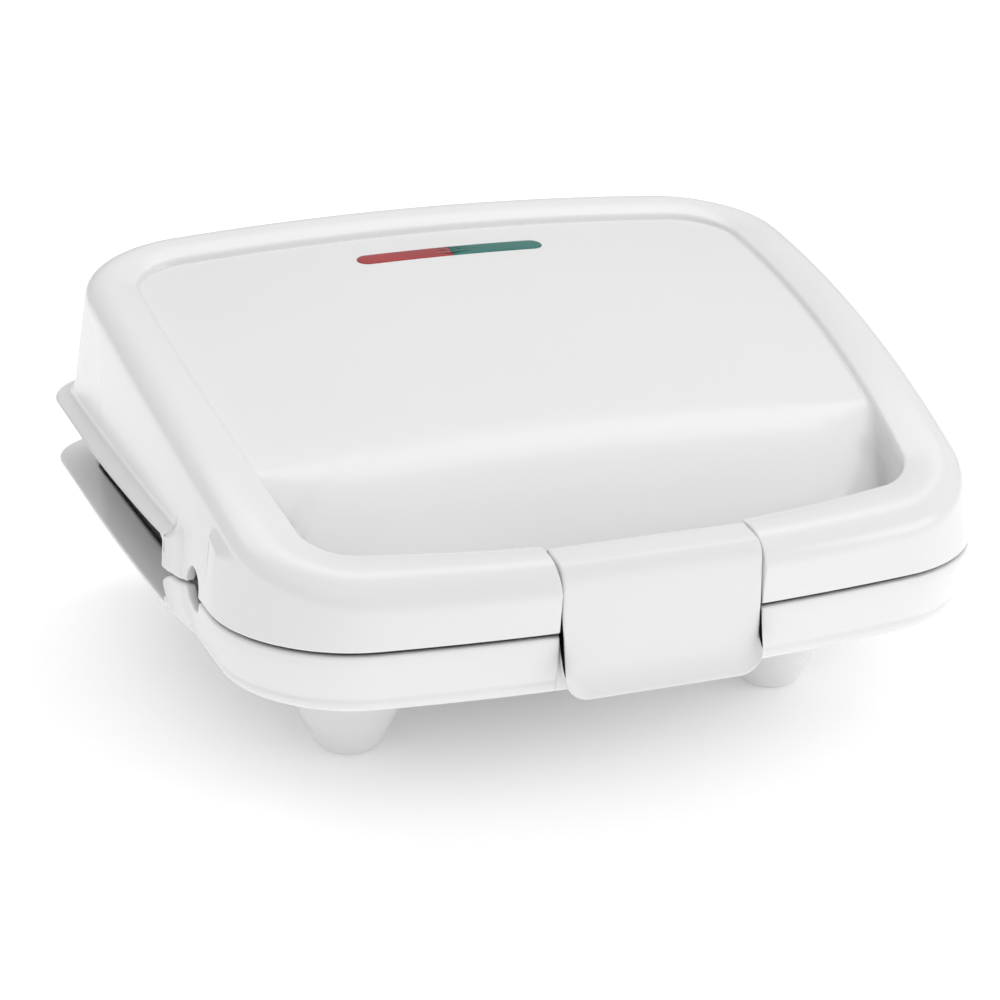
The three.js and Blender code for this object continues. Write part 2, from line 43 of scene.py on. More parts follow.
def plan_of(*values):
    """A rounded trapezoid: widths, y of the ends, corner radii, then bows of front, sides and rear."""
    return dict(zip(("wf", "wr", "front", "rear", "cf", "cr", "bf", "bs", "br"), values))


# ---------------------------------------------------------------- dimensions, in millimetres, as in the part
BODY = plan_of(231.4, 250.0, -119.4, 119.0, 35.6, 20.0, 11.2, 0.1, 3.4)
LID_TOP = plan_of(213.7, 240.8, -120.3, 99.7, 26.3, 34.3, 13.9, 4.4, 0.1)
PLATE_HOLE = plan_of(217.4, 236.0, -60.6, 98.6, 12.0, 14.0, 0.1, 0.1, 0.1)
HOLE_CENTRE = 0 + 15j
SOLE = 4.0  # the feet's soles above the plane that the other heights start from
PARTING = 65.0
SEAM_UP, SEAM_LOW = 65.1, 63.8
RIM_Z, PANEL_Z = 116.2, 112.5
SLOPE, CURVE_Y, CURVE_X = 0.2044, 0.000684, 0.000436
WELL_FLOOR = 69.5
ROLL_START, ROLL_END, ROLL_STRAIGHT, ROLL_CORNER, ROLL_DROP = -50.0, -88.4, 57.0, 46.0, 25.0
NOTCH_Y = -37.5
LIP_UP, LIP_LOW = 75.9, 53.4
HOLE_Y, HOLE_Z, HOLE_R = -55.0, 65.4, 6.5
LATCH_HALF = 29.6
RECESS_HALF, RECESS_Y = 30.2, -115.9  # half width and wall of the recess behind the latch
PIN_Y, PIN_Z, KNUCKLE = -107.5, 80.9, 3.3
HINGE_Y, HINGE_Z, EAR_R = 113.0, 66.5, 6.0
FOOT_X, FOOT_Y = 69.6, (-45.3, 62.0)
WINDOW_Y, WINDOW_REACH, WINDOW_R = 64.0, 32.3, 3.75
GLAND_X, GLAND_Z, GLAND_REAR = 40.0, 43.0, 121.0
ZONE_FRONT, ZONE_REAR = -66.0, -30.0  # stretch of the side that holds the round hole and the notch
ARC_HANDLE = 0.5523  # handle of a cubic close to a quarter circle, as a share of its radius
EDGE_R = 0.8  # rounding of a shell's edge
DECK_IN = 3.6  # from a shell's outside to where the face inside its edge begins


# ---------------------------------------------------------------- heights of the lid's top
def crown(x, y):
    """Slope and crown that the rim and the panel share."""
    return SLOPE * y - CURVE_Y * y * y - CURVE_X * x * x


def roll_end(x):
    """y at which the panel's roll reaches the well."""
    beyond = np.clip(np.abs(x) - ROLL_STRAIGHT, 0, 0.95 * ROLL_CORNER)
    return ROLL_END + ROLL_CORNER - np.sqrt(ROLL_CORNER**2 - beyond**2)


def panel(x, y):
    share = np.clip((ROLL_START - y) / (ROLL_START - roll_end(x)), 0, 1)
    z = PANEL_Z + crown(x, y) - ROLL_DROP * (1 - np.sqrt(1 - share**2))
    return np.maximum(z, WELL_FLOOR)


# ---------------------------------------------------------------- plan outlines, as complex numbers x + iy
def inset(plan, d):
    """The plan drawn in by d all round; its corners keep a radius of at least 4."""
    return dict(plan, wf=plan["wf"] - 2 * d, wr=plan["wr"] - 2 * d,
                front=plan["front"] + d, rear=plan["rear"] - d,
                cf=np.maximum(plan["cf"] - d, 4), cr=np.maximum(plan["cr"] - d, 4))


def between(a, b, t):
    return {k: a[k] + (b[k] - a[k]) * t for k in a}


def edge(plan, i):
    """Edge i (front, right, rear, left) as a bowed quadratic, with the shares where its corners begin."""
    half = (-plan["wf"] / 2, plan["wf"] / 2, plan["wr"] / 2, -plan["wr"] / 2)
    level = (plan["front"] + plan["bf"],) * 2 + (plan["rear"] - plan["br"],) * 2
    radius = (plan["cf"], plan["cf"], plan["cr"], plan["cr"])
    j = (i + 1) % 4
    a, b = half[i] + 1j * level[i], half[j] + 1j * level[j]
    along = b - a
    bow = (plan["bf"], plan["bs"], plan["br"], plan["bs"])[i]
    mid = (a + b) / 2 - 2j * bow * along / abs(along)
    return a, mid, b, np.minimum(radius[i] / abs(along), 0.49), 1 - np.minimum(radius[j] / abs(along), 0.49)


def on_edge(e, t):
    return (1 - t) ** 2 * e[0] + 2 * t * (1 - t) * e[1] + t * t * e[2]


def edge_way(e, t):
    d = (1 - t) * (e[1] - e[0]) + t * (e[2] - e[1])
    return d / abs(d)


def on_corner(plan, i, lam):
    """Points on the cubic that joins edge i to the next."""
    e, f = edge(plan, i), edge(plan, (i + 1) % 4)
    a, b = on_edge(e, e[4]), on_edge(f, f[3])
    ta, tb = edge_way(e, e[4]), edge_way(f, f[3])
    reach = (np.conj(b - a) * tb).imag / (np.conj(ta) * tb).imag
    apex = a + ta * reach
    p, q = a + (apex - a) * ARC_HANDLE, b + (apex - b) * ARC_HANDLE
    return (1 - lam) ** 3 * a + 3 * lam * (1 - lam) ** 2 * p + 3 * lam**2 * (1 - lam) * q + lam**3 * b


# ---------------------------------------------------------------- side boundary of each shell in the y, z plane
def arc(cy, cz, r, a0, a1, step):
    n = max(3, int(abs(a1 - a0) * r / step))
    a = np.linspace(a0, a1, n + 1)
    return [(cy + r * math.cos(v), cz + r * math.sin(v)) for v in a]


def line(p, q, step):
    n = max(1, int(math.dist(p, q) / step))
    return [(p[0] + (q[0] - p[0]) * k / n, p[1] + (q[1] - p[1]) * k / n) for k in range(n + 1)]


def side_boundary(up):
    """Edge of a shell along the zone: seam, half of the round hole, seam, step at the notch, lip."""
    s = 1 if up else -1
    seam, lip = (SEAM_UP, LIP_UP) if up else (SEAM_LOW, LIP_LOW)
    half_pi = math.pi / 2
    mouth, tip, root = 0.9, 2.3, 1.5
    rise = s * (seam - HOLE_Z)
    reach = math.sqrt((HOLE_R + mouth) ** 2 - (rise + mouth) ** 2)
    lean = math.atan2(rise + mouth, reach)
    pts = line((ZONE_FRONT, seam), (HOLE_Y - reach, seam), 1.0)
    pts += arc(HOLE_Y - reach, seam + s * mouth, mouth, -s * half_pi, -s * lean, 0.3)[1:]
    pts += arc(HOLE_Y, HOLE_Z, HOLE_R, s * (math.pi - lean), s * lean, 0.5)[1:]
    pts += arc(HOLE_Y + reach, seam + s * mouth, mouth, s * (math.pi + lean), s * 3 * half_pi, 0.3)[1:]
    pts += line(pts[-1], (NOTCH_Y - tip, seam), 0.7)[1:]
    pts += arc(NOTCH_Y - tip, seam + s * tip, tip, -s * half_pi, 0, 0.3)[1:]
    pts += line(pts[-1], (NOTCH_Y, lip - s * root), 0.45)[1:]
    pts += arc(NOTCH_Y + root, lip - s * root, root, math.pi, s * half_pi, 0.3)[1:]
    pts += line(pts[-1], (ZONE_REAR, lip), 0.9)[1:]
    b = np.array(pts)
    way = np.gradient(b, axis=0)
    way /= np.linalg.norm(way, axis=1)[:, None]
    normal = np.stack([-way[:, 1], way[:, 0]], 1) * s
    run = np.concatenate([[0], np.cumsum(np.linalg.norm(np.diff(b, axis=0), axis=1))])
    return b, normal, ZONE_FRONT + (ZONE_REAR - ZONE_FRONT) * run / run[-1]


# ---------------------------------------------------------------- columns round half an outline
SIDE_LIMIT = 50.0
FRONT_LIMIT = 45.0
SUNK_HALF = 30.12  # outermost column that lies in the recess behind the latch
FRONT_X = np.concatenate([
    np.linspace(0, 28, 15),
    [29, 29.6, 29.9, 30.05, SUNK_HALF, RECESS_HALF, 30.26, 30.36, 30.5, 30.7, 31, 31.5, 32.3, 33.5],
    np.linspace(35, FRONT_LIMIT, 6),
])
FRONT_F = np.linspace(0, 1, 11)[1:]
CORNER_F = np.linspace(0, 1, 20)[1:-1]
SIDE_F0 = np.linspace(1, 0, 5)[:-1]
SIDE_Y = np.linspace(ZONE_REAR, SIDE_LIMIT, 28)[1:]
SIDE_F1 = np.linspace(0, 1, 9)[1:]
REAR_CORNER_F = np.linspace(0, 1, 16)[1:-1]
REAR_F = np.linspace(0, 1, 31)


def at_share(e, t):
    """y of a side edge's point at share t of its length."""
    return e[0].imag + t * (e[2].imag - e[0].imag)


def at_y(e, y):
    """A side edge's points at the given y."""
    low, high = e[0].imag, e[2].imag
    return on_edge(e, (y - low) / (high - low))


def fine_outline(plan):
    """Half of a plain fine outline, for radial lookups of plans whose sides are shorter."""
    t = np.linspace(0, 1, 80)
    e0, e1, e2 = (edge(plan, i) for i in range(3))
    return np.concatenate([
        on_edge(e0, 0.5 + (e0[4] - 0.5) * t),
        on_corner(plan, 0, t)[1:],
        on_edge(e1, e1[3] + (e1[4] - e1[3]) * t)[1:],
        on_corner(plan, 1, t)[1:],
        on_edge(e2, e2[3] + (0.5 - e2[3]) * t)[1:],
    ])


class Columns:
    """Half an outline's columns, front middle to rear middle; the side zone's y may differ in each row."""

    def __init__(self, up):
        self.edge_pts, self.edge_normal, self.top_y = side_boundary(up)
        zone = len(self.top_y)
        self.counts = (len(FRONT_X), len(FRONT_F), len(CORNER_F), len(SIDE_F0), zone, len(SIDE_Y), len(SIDE_F1),
                       len(REAR_CORNER_F), len(REAR_F))
        self.starts = np.concatenate([[0], np.cumsum(self.counts)])
        self.n = self.starts[-1]
        self.zone = slice(self.starts[4], self.starts[5])
        self.y = np.zeros(self.n)
        self.y[self.zone] = self.top_y
        self.y[self.starts[5]:self.starts[6]] = SIDE_Y

    def outline(self, plan, y=None):
        """plan's values broadcast over rows and columns; y is the row's own y in the side zone."""
        shapes = [np.shape(v) for v in plan.values()] + [(1, 1), () if y is None else np.shape(y)]
        rows = np.broadcast_shapes(*shapes)[0]
        grid = {k: np.broadcast_to(np.asarray(v, float), (rows, self.n)) for k, v in plan.items()}
        y = np.broadcast_to(self.y if y is None else y, (rows, self.n))
        out = np.zeros((rows, self.n), complex)

        def part(k):
            c = slice(self.starts[k], self.starts[k + 1])
            return c, {name: v[:, c] for name, v in grid.items()}

        c, p = part(0)
        out[:, c] = on_edge(edge(p, 0), FRONT_X / p["wf"] + 0.5)
        c, p = part(1)
        e = edge(p, 0)
        end = p["wf"] * (e[4] - 0.5)
        out[:, c] = on_edge(e, (FRONT_LIMIT + FRONT_F * (end - FRONT_LIMIT)) / p["wf"] + 0.5)
        c, p = part(2)
        out[:, c] = on_corner(p, 0, CORNER_F)
        c, p = part(3)
        e = edge(p, 1)
        out[:, c] = at_y(e, ZONE_FRONT + SIDE_F0 * (at_share(e, e[3]) - ZONE_FRONT))
        for k in (4, 5):
            c, p = part(k)
            out[:, c] = at_y(edge(p, 1), y[:, c])
        c, p = part(6)
        e = edge(p, 1)
        out[:, c] = at_y(e, SIDE_LIMIT + SIDE_F1 * (at_share(e, e[4]) - SIDE_LIMIT))
        c, p = part(7)
        out[:, c] = on_corner(p, 1, REAR_CORNER_F)
        c, p = part(8)
        e = edge(p, 2)
        out[:, c] = on_edge(e, e[3] + (0.5 - e[3]) * REAR_F)
        return out

    def normals(self):
        p = self.outline(between(BODY, LID_TOP, 0.3))[0]
        way = np.gradient(p)
        way[0], way[-1] = 1, -1
        way /= abs(way)
        return -1j * way

    def radial(self, plan, centre):
        """Columns' directions from centre, met with another plan's outline."""
        own = self.outline(BODY)[0] - centre
        target = fine_outline(plan) - centre
        r = np.interp(np.unwrap(np.angle(own * 1j)), np.unwrap(np.angle(target * 1j)), abs(target))
        return centre + r * own / abs(own)


def rows3(points, z):
    """Rows of (x, y, z) from complex plan points and heights."""
    points = np.atleast_2d(points)
    z = np.broadcast_to(z, points.shape)
    return np.stack([points.real, points.imag, z], -1)


def whole(half):
    """Both halves of the columns, the left one mirrored."""
    left = half[:, -2:0:-1] * np.array([-1, 1, 1])
    return np.concatenate([half, left], 1)


# ---------------------------------------------------------------- mesh helpers
def new_piece(name, verts, faces, body, material, replaces=()):
    """A smooth mesh object from millimetres, riding on a body of the frame."""
    mesh = bpy.data.meshes.new(name)
    mesh.from_pydata(((np.asarray(verts, float) - (0, 0, SOLE)) * MM).tolist(), [], faces)
    mesh.update()
    mesh.polygons.foreach_set("use_smooth", [True] * len(mesh.polygons))
    obj = bpy.data.objects.new(name, mesh)
    bpy.context.scene.collection.objects.link(obj)
    mesh.materials.append(material)
    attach(obj, body)
    if replaces:
        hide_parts(*replaces)


def skin(grid, first=None, last=None, loop=False):
    """Vertices and faces of closed rings (R, N, 3); first and last are poles, loop joins the end rings."""
    r, n, _ = grid.shape
    verts = grid.reshape(-1, 3).tolist()
    k = np.arange(n)
    nxt = (k + 1) % n
    faces = []
    for i in range(r - 1):
        a, b = i * n, (i + 1) * n
        faces += np.stack([a + k, a + nxt, b + nxt, b + k], 1).tolist()
    if first is not None:
        verts.append(list(first))
        faces += np.stack([np.full(n, len(verts) - 1), nxt, k], 1).tolist()
    if last is not None:
        verts.append(list(last))
        top = (r - 1) * n
        faces += np.stack([np.full(n, len(verts) - 1), top + k, top + nxt], 1).tolist()
    if loop:
        top = (r - 1) * n
        faces += np.stack([top + k, top + nxt, nxt, k], 1).tolist()
    return verts, faces


def lathe(profile, segments=64):
    """Rings of a turned body about +Z from (radius, height) pairs."""
    a = np.linspace(0, 2 * np.pi, segments, endpoint=False)
    p = np.array(profile, float)
    return np.stack([p[:, :1] * np.cos(a), p[:, :1] * np.sin(a), np.repeat(p[:, 1:], segments, 1)], -1)


def rounded(points, radii, step=5):
    """Open polyline with its inner corners turned into arcs of the given radii."""
    pts = [np.array(p, float) for p in points]
    out = [pts[0]]
    for k, r in zip(range(1, len(pts) - 1), radii):
        u, v = pts[k - 1] - pts[k], pts[k + 1] - pts[k]
        lu, lv = np.linalg.norm(u), np.linalg.norm(v)
        u, v = u / lu, v / lv
        half = math.acos(max(-1, min(1, float(u @ v)))) / 2
        cutoff = min(r / math.tan(half), 0.48 * lu, 0.48 * lv)
        a, b = pts[k] + u * cutoff, pts[k] + v * cutoff
        for t in np.linspace(0, 1, step + 1):
            w = 1 - t
            out.append(w * w * a + 2 * w * t * (pts[k] * 0.86 + (a + b) * 0.07) + t * t * b)
    out.append(pts[-1])
    return np.array(out)


# ---------------------------------------------------------------- materials
def nodes_of(material):
    material.use_nodes = True
    tree = material.node_tree
    tree.nodes.clear()
    out = tree.nodes.new("ShaderNodeOutputMaterial")
    shader = tree.nodes.new("ShaderNodeBsdfPrincipled")
    tree.links.new(shader.outputs[0], out.inputs[0])
    return tree, shader


def noise(tree, scale, detail=2.0, stretch=None, kind="ShaderNodeTexNoise"):
    coords = tree.nodes.new("ShaderNodeTexCoord")
    node = tree.nodes.new(kind)
    source = coords.outputs["Object"]
    if stretch:
        mapping = tree.nodes.new("ShaderNodeMapping")
        mapping.inputs["Scale"].default_value = stretch
        tree.links.new(source, mapping.inputs[0])
        source = mapping.outputs[0]
    tree.links.new(source, node.inputs["Vector"])
    node.inputs["Scale"].default_value = scale
    if kind == "ShaderNodeTexNoise":
        node.inputs["Detail"].default_value = detail
    return node


def ramp(tree, value, stops):
    node = tree.nodes.new("ShaderNodeValToRGB")
    tree.links.new(value, node.inputs[0])
    e = node.color_ramp.elements
    while len(e) < len(stops):
        e.new(0.5)
    for element, (at, colour) in zip(e, stops):
        element.position = at
        element.color = (*colour, 1)
    return node


def span(tree, value, low, high):
    node = tree.nodes.new("ShaderNodeMapRange")
    tree.links.new(value, node.inputs["Value"])
    node.inputs["To Min"].default_value = low
    node.inputs["To Max"].default_value = high
    return node.outputs[0]


def bump(tree, shader, value, distance, strength=1.0, below=None):
    node = tree.nodes.new("ShaderNodeBump")
    node.inputs["Distance"].default_value = distance
    node.inputs["Strength"].default_value = strength
    tree.links.new(value, node.inputs["Height"])
    if below:
        tree.links.new(below.outputs[0], node.inputs["Normal"])
    tree.links.new(node.outputs[0], shader.inputs["Normal"])
    return node


PEEL = 0.00002  # depth of the orange peel, in metres
DRIFT = 0.0105  # share by which a plastic's colour drifts either way
PAINTED_HIGHLIGHT_SHARE, PAINTED_HIGHLIGHT_PALER = 0.04, 0.12  # share of a paler colour painted on arrises as a highlight, and how much paler


def plastic(name, colour, roughness, grain=0.0):
    """Moulded plastic: slight colour drift, uneven gloss, orange peel, arrises painted paler as a highlight."""
    mat = bpy.data.materials.new(name)
    tree, shader = nodes_of(mat)
    drift = noise(tree, 9.0, 3.0)
    low = tuple(c * (1 - DRIFT) for c in colour)
    high = tuple(min(1, c * (1 + DRIFT)) for c in colour)
    tint = ramp(tree, drift.outputs[0], [(0.3, low), (0.7, high)])
    geometry = tree.nodes.new("ShaderNodeNewGeometry")
    # painted highlight: convex arrises, found by pointiness, get a slightly paler colour
    painted_highlight = ramp(tree, geometry.outputs["Pointiness"], [(0.52, (0, 0, 0)), (0.62, (1, 1, 1))])
    share = tree.nodes.new("ShaderNodeMath")
    share.operation = "MULTIPLY"
    share.inputs[1].default_value = PAINTED_HIGHLIGHT_SHARE
    tree.links.new(painted_highlight.outputs[0], share.inputs[0])
    mix = tree.nodes.new("ShaderNodeMix")
    mix.data_type = "RGBA"
    mix.inputs["B"].default_value = (*[min(1, c + PAINTED_HIGHLIGHT_PALER) for c in colour], 1)
    tree.links.new(share.outputs[0], mix.inputs["Factor"])
    tree.links.new(tint.outputs[0], mix.inputs["A"])
    tree.links.new(mix.outputs["Result"], shader.inputs["Base Color"])
    gloss = noise(tree, 35.0, 4.0)
    tree.links.new(span(tree, gloss.outputs[0], roughness * 0.85, roughness * 1.2), shader.inputs["Roughness"])
    peel = bump(tree, shader, noise(tree, 260.0, 2.0).outputs[0], PEEL)
    if grain:
        bump(tree, shader, noise(tree, 2600.0, 2.0).outputs[0], grain, below=peel)
    shader.inputs["IOR"].default_value = 1.5
    return mat


def coating(name):
    """Dark non-stick coating: pale speckle, faint spray texture."""
    mat = bpy.data.materials.new(name)
    tree, shader = nodes_of(mat)
    flecks = noise(tree, 900.0, kind="ShaderNodeTexVoronoi")
    tint = ramp(tree, flecks.outputs["Distance"], [(0.0, (0.16, 0.16, 0.165)), (0.16, (0.022, 0.022, 0.024)),
                                                   (1.0, (0.03, 0.03, 0.031))])
    tree.links.new(tint.outputs[0], shader.inputs["Base Color"])
    gloss = noise(tree, 60.0, 3.0)
    tree.links.new(span(tree, gloss.outputs[0], 0.34, 0.5), shader.inputs["Roughness"])
    spray = noise(tree, 700.0, 3.0)
    bump(tree, shader, spray.outputs[0], 0.00006, 0.8)
    return mat


def metal(name, colour, roughness, stretch=(1, 1, 1), tinted=None):
    """Brushed or tinted metal; stretch draws the brushing out along one axis."""
    mat = bpy.data.materials.new(name)
    tree, shader = nodes_of(mat)
    shader.inputs["Metallic"].default_value = 1.0
    drift = noise(tree, 25.0, 3.0)
    other = tinted or tuple(c * 0.85 for c in colour)
    tint = ramp(tree, drift.outputs[0], [(0.35, colour), (0.7, other)])
    tree.links.new(tint.outputs[0], shader.inputs["Base Color"])
    brush = noise(tree, 300.0, 4.0, stretch)
    tree.links.new(span(tree, brush.outputs[0], roughness * 0.7, roughness * 1.35), shader.inputs["Roughness"])
    bump(tree, shader, brush.outputs[0], 0.00003, 0.6)
    return mat


def lens_plastic(name, colour):
    """Coloured glossy plastic of the lenses and lamps, with slight colour drift and orange peel."""
    mat = bpy.data.materials.new(name)
    tree, shader = nodes_of(mat)
    drift = noise(tree, 60.0, 3.0)
    low, high = tuple(c * 0.85 for c in colour), tuple(min(1, c * 1.12) for c in colour)
    tint = ramp(tree, drift.outputs[0], [(0.3, low), (0.7, high)])
    tree.links.new(tint.outputs[0], shader.inputs["Base Color"])
    gloss = noise(tree, 120.0, 2.0)
    tree.links.new(span(tree, gloss.outputs[0], 0.16, 0.26), shader.inputs["Roughness"])
    peel = noise(tree, 420.0, 2.0)
    bump(tree, shader, peel.outputs[0], 0.00002, 0.7)
    return mat


def floor_material():
    """White studio floor that glows, weaker near the object and stronger with the distance so that it fades to
    white: a painted shadow round the object, and a glow that also lights the object.
    """
    mat = bpy.data.materials.new("studio_floor")
    tree, shader = nodes_of(mat)
    drift = noise(tree, 3.0, 2.0)
    tint = ramp(tree, drift.outputs[0], [(0.2, (0.86, 0.86, 0.86)), (0.8, (0.87, 0.87, 0.87))])
    tree.links.new(tint.outputs[0], shader.inputs["Base Color"])
    shader.inputs["Roughness"].default_value = 0.7
    shader.inputs["Specular IOR Level"].default_value = 0.1
    shader.inputs["Emission Color"].default_value = (1, 1, 1, 1)
    place = tree.nodes.new("ShaderNodeTexCoord")
    scaled = tree.nodes.new("ShaderNodeMapping")
    scaled.inputs["Location"].default_value = (0.0, -0.15, 0.0)
    scaled.inputs["Scale"].default_value = (5.0, 5.4, 1.0)
    tree.links.new(place.outputs["Object"], scaled.inputs[0])
    reach = tree.nodes.new("ShaderNodeVectorMath")
    reach.operation = "LENGTH"
    tree.links.new(scaled.outputs[0], reach.inputs[0])
    # painted shadow: the floor glows less near the object and more further out
    glow_and_painted_shadow = ramp(tree, reach.outputs["Value"], [(0.3, (0.10, 0.10, 0.10)), (0.95, (0.38, 0.38, 0.38))])
    tree.links.new(glow_and_painted_shadow.outputs[0], shader.inputs["Emission Strength"])
    return mat


WHITE = plastic("gloss_white", (0.85, 0.85, 0.847), 0.2)
SATIN = plastic("satin_white", (0.84, 0.84, 0.838), 0.34, grain=0.000004)
COATING = coating("nonstick")
STEEL = metal("bright_steel", (0.66, 0.67, 0.68), 0.24, (1, 8, 8))
SHEATH = metal("tinted_sheath", (0.30, 0.28, 0.27), 0.4, tinted=(0.26, 0.19, 0.13))
BLACK = plastic("black_plastic", (0.022, 0.022, 0.023), 0.42, grain=0.000008)
CERAMIC = plastic("ceramic", (0.72, 0.68, 0.60), 0.6, grain=0.00001)
RED = lens_plastic("red_lens", (0.36, 0.012, 0.014))
GREEN = lens_plastic("green_lens", (0.003, 0.15, 0.125))
LAMP_RED = lens_plastic("red_lamp", (0.6, 0.12, 0.07))
LAMP_GREEN = lens_plastic("green_lamp", (0.12, 0.42, 0.24))


# ---------------------------------------------------------------- shells
OFFSETS = np.array([0.0, 0.06, 0.2, 0.42, EDGE_R])  # of the wall's first rows from the shell's edge


def curve(x, xs, ys):
    """Smooth curve through a few points; level beyond both ends."""
    xs, ys = np.array(xs, float), np.array(ys, float)
    slope = np.gradient(ys, xs)
    slope[0] = slope[-1] = 0
    x = np.clip(x, xs[0], xs[-1])
    i = np.clip(np.searchsorted(xs, x) - 1, 0, len(xs) - 2)
    h = xs[i + 1] - xs[i]
    t = (x - xs[i]) / h
    w = 1 - t
    return ys[i] * (1 + 2 * t) * w * w + h * slope[i] * t * w * w + ys[i + 1] * t * t * (3 - 2 * t) \
        - h * slope[i + 1] * t * t * w


# How far a lip stands out of its wall at some y, and its sections as (distance, share of that reach).
LIP_Y = (NOTCH_Y, -28, -14, 5, 25, 45, 65, 82, 95, 108, 116, 119)
LIP_REACH = (4.45, 4.8, 5.25, 5.7, 6.05, 6.1, 5.95, 5.85, 5.8, 5.7, 5.0, 4.4)
OVER_HEIGHT, OVER_AT = 7.5, (0, 0.05, 0.08, 0.12, 0.16, 0.21, 0.3, 0.45, 0.7, 1)
OVER_SHARE = (1, 1, 0.93, 0.68, 0.43, 0.25, 0.13, 0.05, 0.015, 0)
BELOW_START, BELOW_HEIGHT, BELOW_AT = 52.4, 7.8, (0, 0.06, 0.18, 0.41, 0.69, 1)
BELOW_SHARE = (1, 0.97, 0.83, 0.5, 0.18, 0)
AHEAD_LENGTH, AHEAD_AT, AHEAD_SHARE = 9.6, (0, 0.1, 0.3, 0.6, 0.85, 1), (1, 0.76, 0.54, 0.38, 0.2, 0)


def lip_out(y, z, up):
    """How far a shell's lip stands out of its wall; in front of the notch it fades."""
    if up:
        past, at, section = np.maximum(z - LIP_UP, 0) / OVER_HEIGHT, OVER_AT, OVER_SHARE
    else:
        past, at, section = np.maximum(BELOW_START - z, 0) / BELOW_HEIGHT, BELOW_AT, BELOW_SHARE
    ahead = np.maximum(NOTCH_Y - y, 0) / AHEAD_LENGTH
    far = np.hypot(ahead, past)
    share = ahead**2 / np.maximum(far**2, 1e-9)
    side = curve(far, AHEAD_AT, AHEAD_SHARE)
    return curve(y, LIP_Y, LIP_REACH) * (share * side + (1 - share) * curve(far, at, section))


def arc_drop(d, radius):
    """How far a rounding of that radius lies inside its corner, at distance d from the corner's edge."""
    return radius - np.sqrt(np.maximum(radius**2 - np.clip(radius - d, 0, radius) ** 2, 0))


ROW_SPACING = 1.7  # exponent that packs the wall's rows towards the lip


def wall_grid(cols, up, seam, lip, far_z, rows):
    """y and z of each wall row, from the shell's edge to its far side, and the distance from the edge."""
    n, zone = cols.n, cols.zone
    by, bz = cols.y.copy(), np.full(n, seam)
    bz[zone.stop:] = lip
    by[zone], bz[zone] = cols.edge_pts[:, 0], cols.edge_pts[:, 1]
    ny, nz = np.zeros(n), np.full(n, 1.0 if up else -1.0)
    ny[zone], nz[zone] = cols.edge_normal[:, 0], cols.edge_normal[:, 1]
    y = [by + ny * d for d in OFFSETS]
    z = [bz + nz * d for d in OFFSETS]
    y0, z0 = y[-1], z[-1]
    for g in (np.arange(1, rows + 1) / rows) ** ROW_SPACING:
        y.append(y0 + (cols.y - y0) * g)
        z.append(z0 + (far_z - z0) * g)
    d = np.concatenate([OFFSETS, np.full(rows, EDGE_R)])[:, None]
    return np.array(y), np.array(z), d, bz


RECESS_ROUND = 0.5
RECESS_COLUMNS = slice(0, len(FRONT_X))
SUNK = np.where(FRONT_X <= SUNK_HALF, 1.0, 0.0)
ROUND_OFF = np.where(FRONT_X >= RECESS_HALF, arc_drop(FRONT_X - RECESS_HALF, RECESS_ROUND), 0.0)


def edge_row(edge_base, normal, out, bz):
    """Row on the face of a shell's edge, just behind its rounding."""
    return rows3(edge_base + normal * (out - EDGE_R - 0.7), bz)


FILLET_OUT, FILLET_DOWN = 1.2, 5.0  # where the lid's outer fillet meets its wall
LID_POLE = complex(0, -10)


def roof(p):
    """Height of the lid's inner ceiling."""
    return np.maximum(panel(p.real, p.imag) - 3.4, 79.0)


